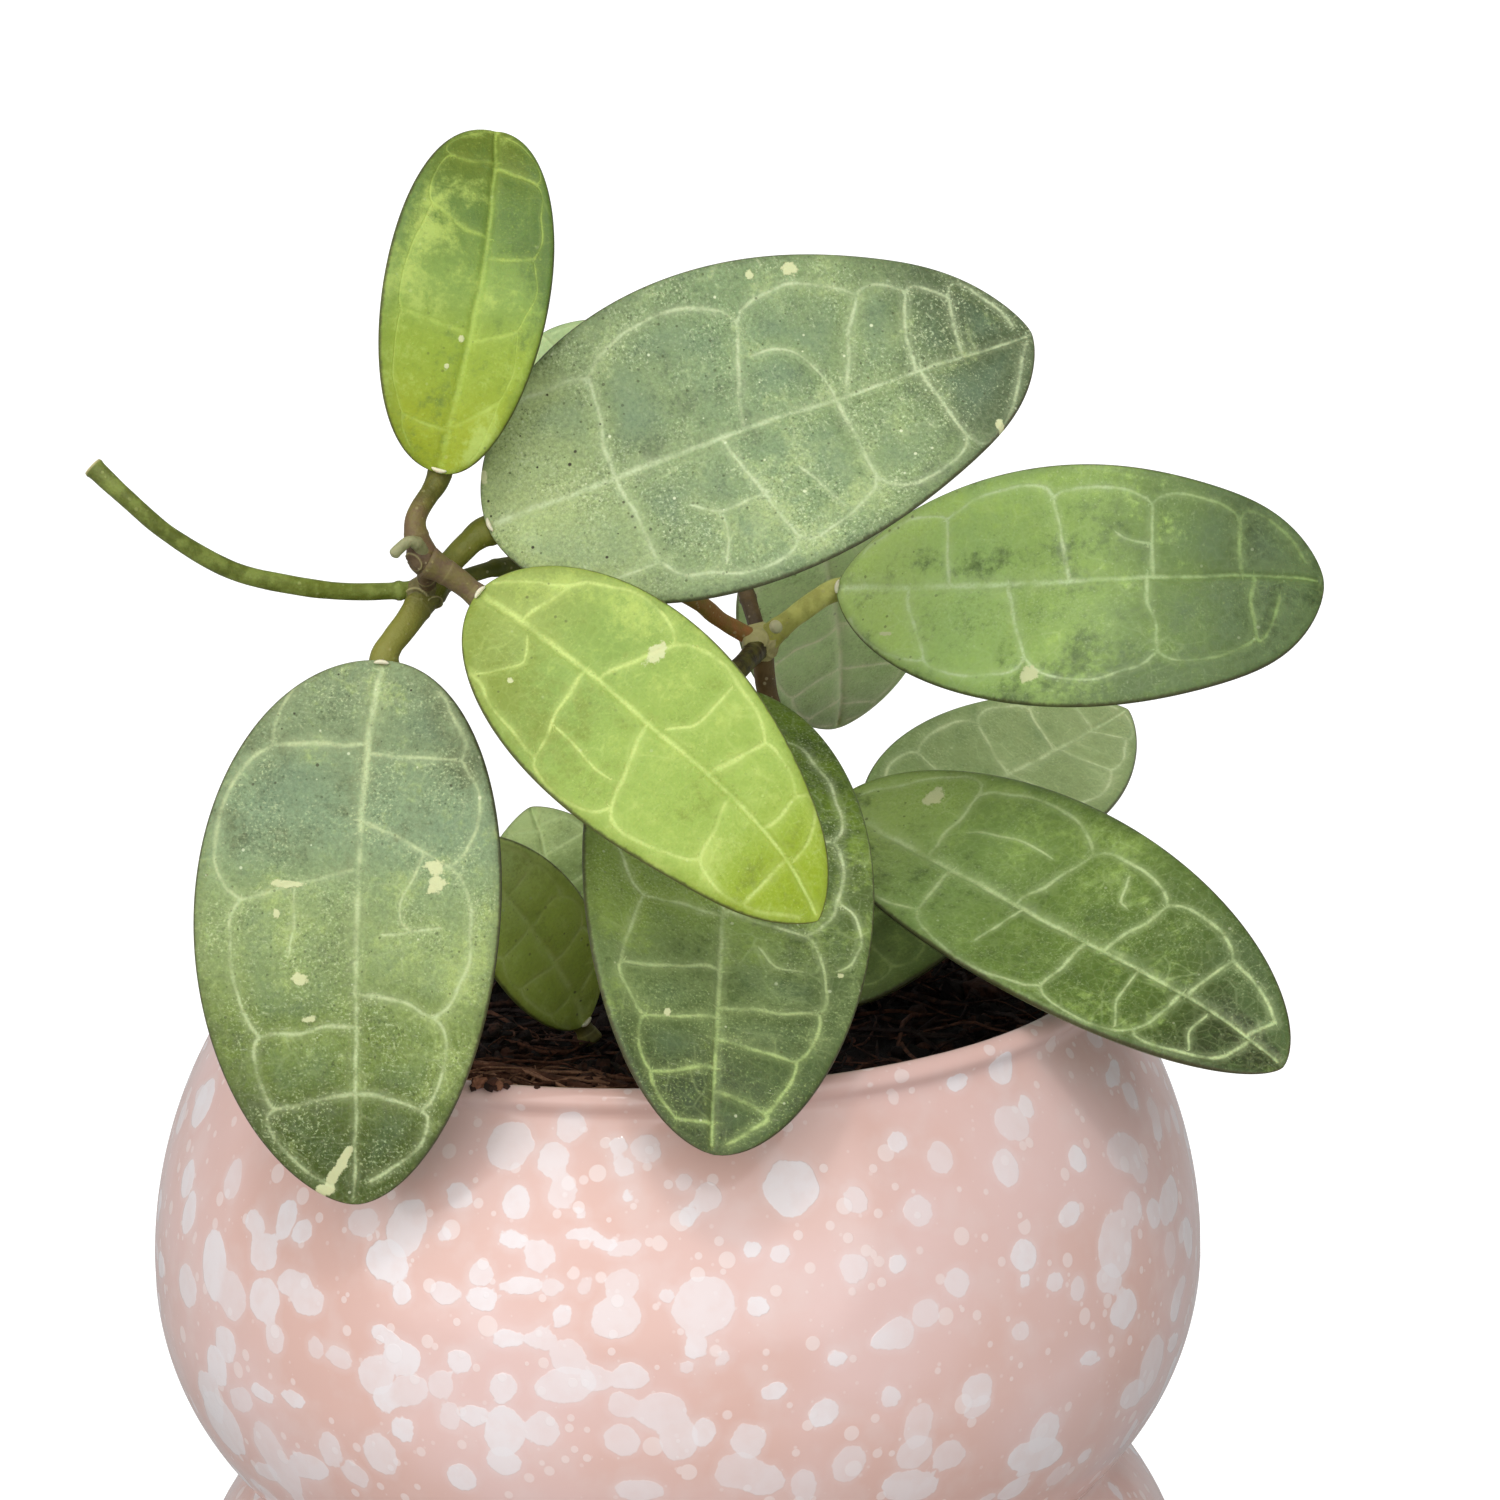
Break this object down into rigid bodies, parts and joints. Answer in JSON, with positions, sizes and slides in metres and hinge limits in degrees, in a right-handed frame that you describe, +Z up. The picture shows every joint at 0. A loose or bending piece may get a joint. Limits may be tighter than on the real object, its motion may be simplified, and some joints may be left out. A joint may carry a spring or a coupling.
{
  "type": "potted wax plant",
  "caption": "Trailing wax vine with thick oval veined leaves, growing in a round two-bulb glazed ceramic pot with speckled glaze.",
  "frame": {"origin": "middle of the pot's foot, on the surface it stands on", "axes": "+Z up; +X to the right and -Y towards the viewer of the side the plant is shown from"},
  "size_m": [0.1441, 0.1331, 0.2196],
  "materials": {
    "glaze": "glossy pale pink glaze with white spatter",
    "medium": "dark coarse growing medium",
    "husk": "rough bark and husk fibre",
    "leaf": "thick satin leaf with pale veins",
    "young_leaf": "satin lime-green young leaf with pale veins",
    "stalk": "olive green leaf stalk and young stem",
    "stem": "brown older stem"
  },
  "bodies": {
    "root": {"pot_upper_bulb": "glaze", "pot_lower_bulb": "glaze", "soil": "medium", "bark_chip_1": "husk", "bark_chip_2": "husk", "bark_chip_3": "husk", "bark_chip_4": "husk", "bark_chip_5": "husk", "husk_fibre_1": "husk", "husk_fibre_2": "husk", "blade_hanging_left": "leaf", "blade_broad_top": "leaf", "blade_lime_front": "young_leaf", "blade_upright": "young_leaf", "blade_right_side": "leaf", "blade_over_rim_front": "leaf", "blade_over_rim_right": "leaf", "blade_back_right": "leaf", "blade_back_middle": "leaf", "blade_back_top": "young_leaf", "blade_low_back": "leaf", "blade_low_left": "leaf", "blade_low_right": "leaf", "stalk_hanging_left": "stalk", "stalk_broad_top": "stalk", "stalk_lime_front": "stem", "stalk_upright": "stalk", "stalk_right_side": "stalk", "stalk_over_rim_front": "stalk", "stalk_over_rim_right": "stalk", "stalk_back_right": "stalk", "stalk_back_middle": "stalk", "stalk_back_top": "stalk", "stalk_low_back": "stalk", "stalk_low_left": "stalk", "stalk_low_right": "stalk", "main_stem_lower": "stem", "main_stem_upper": "stem", "long_vine": "stem", "back_branch": "stem", "side_shoot": "stem", "runner": "stalk", "growing_tip": "stalk", "axil_bud": "stalk", "joint_low": "stem", "joint_middle": "stem", "joint_back": "stem", "joint_front": "stem", "joint_shoot": "stem"}
  },
  "joints": []
}
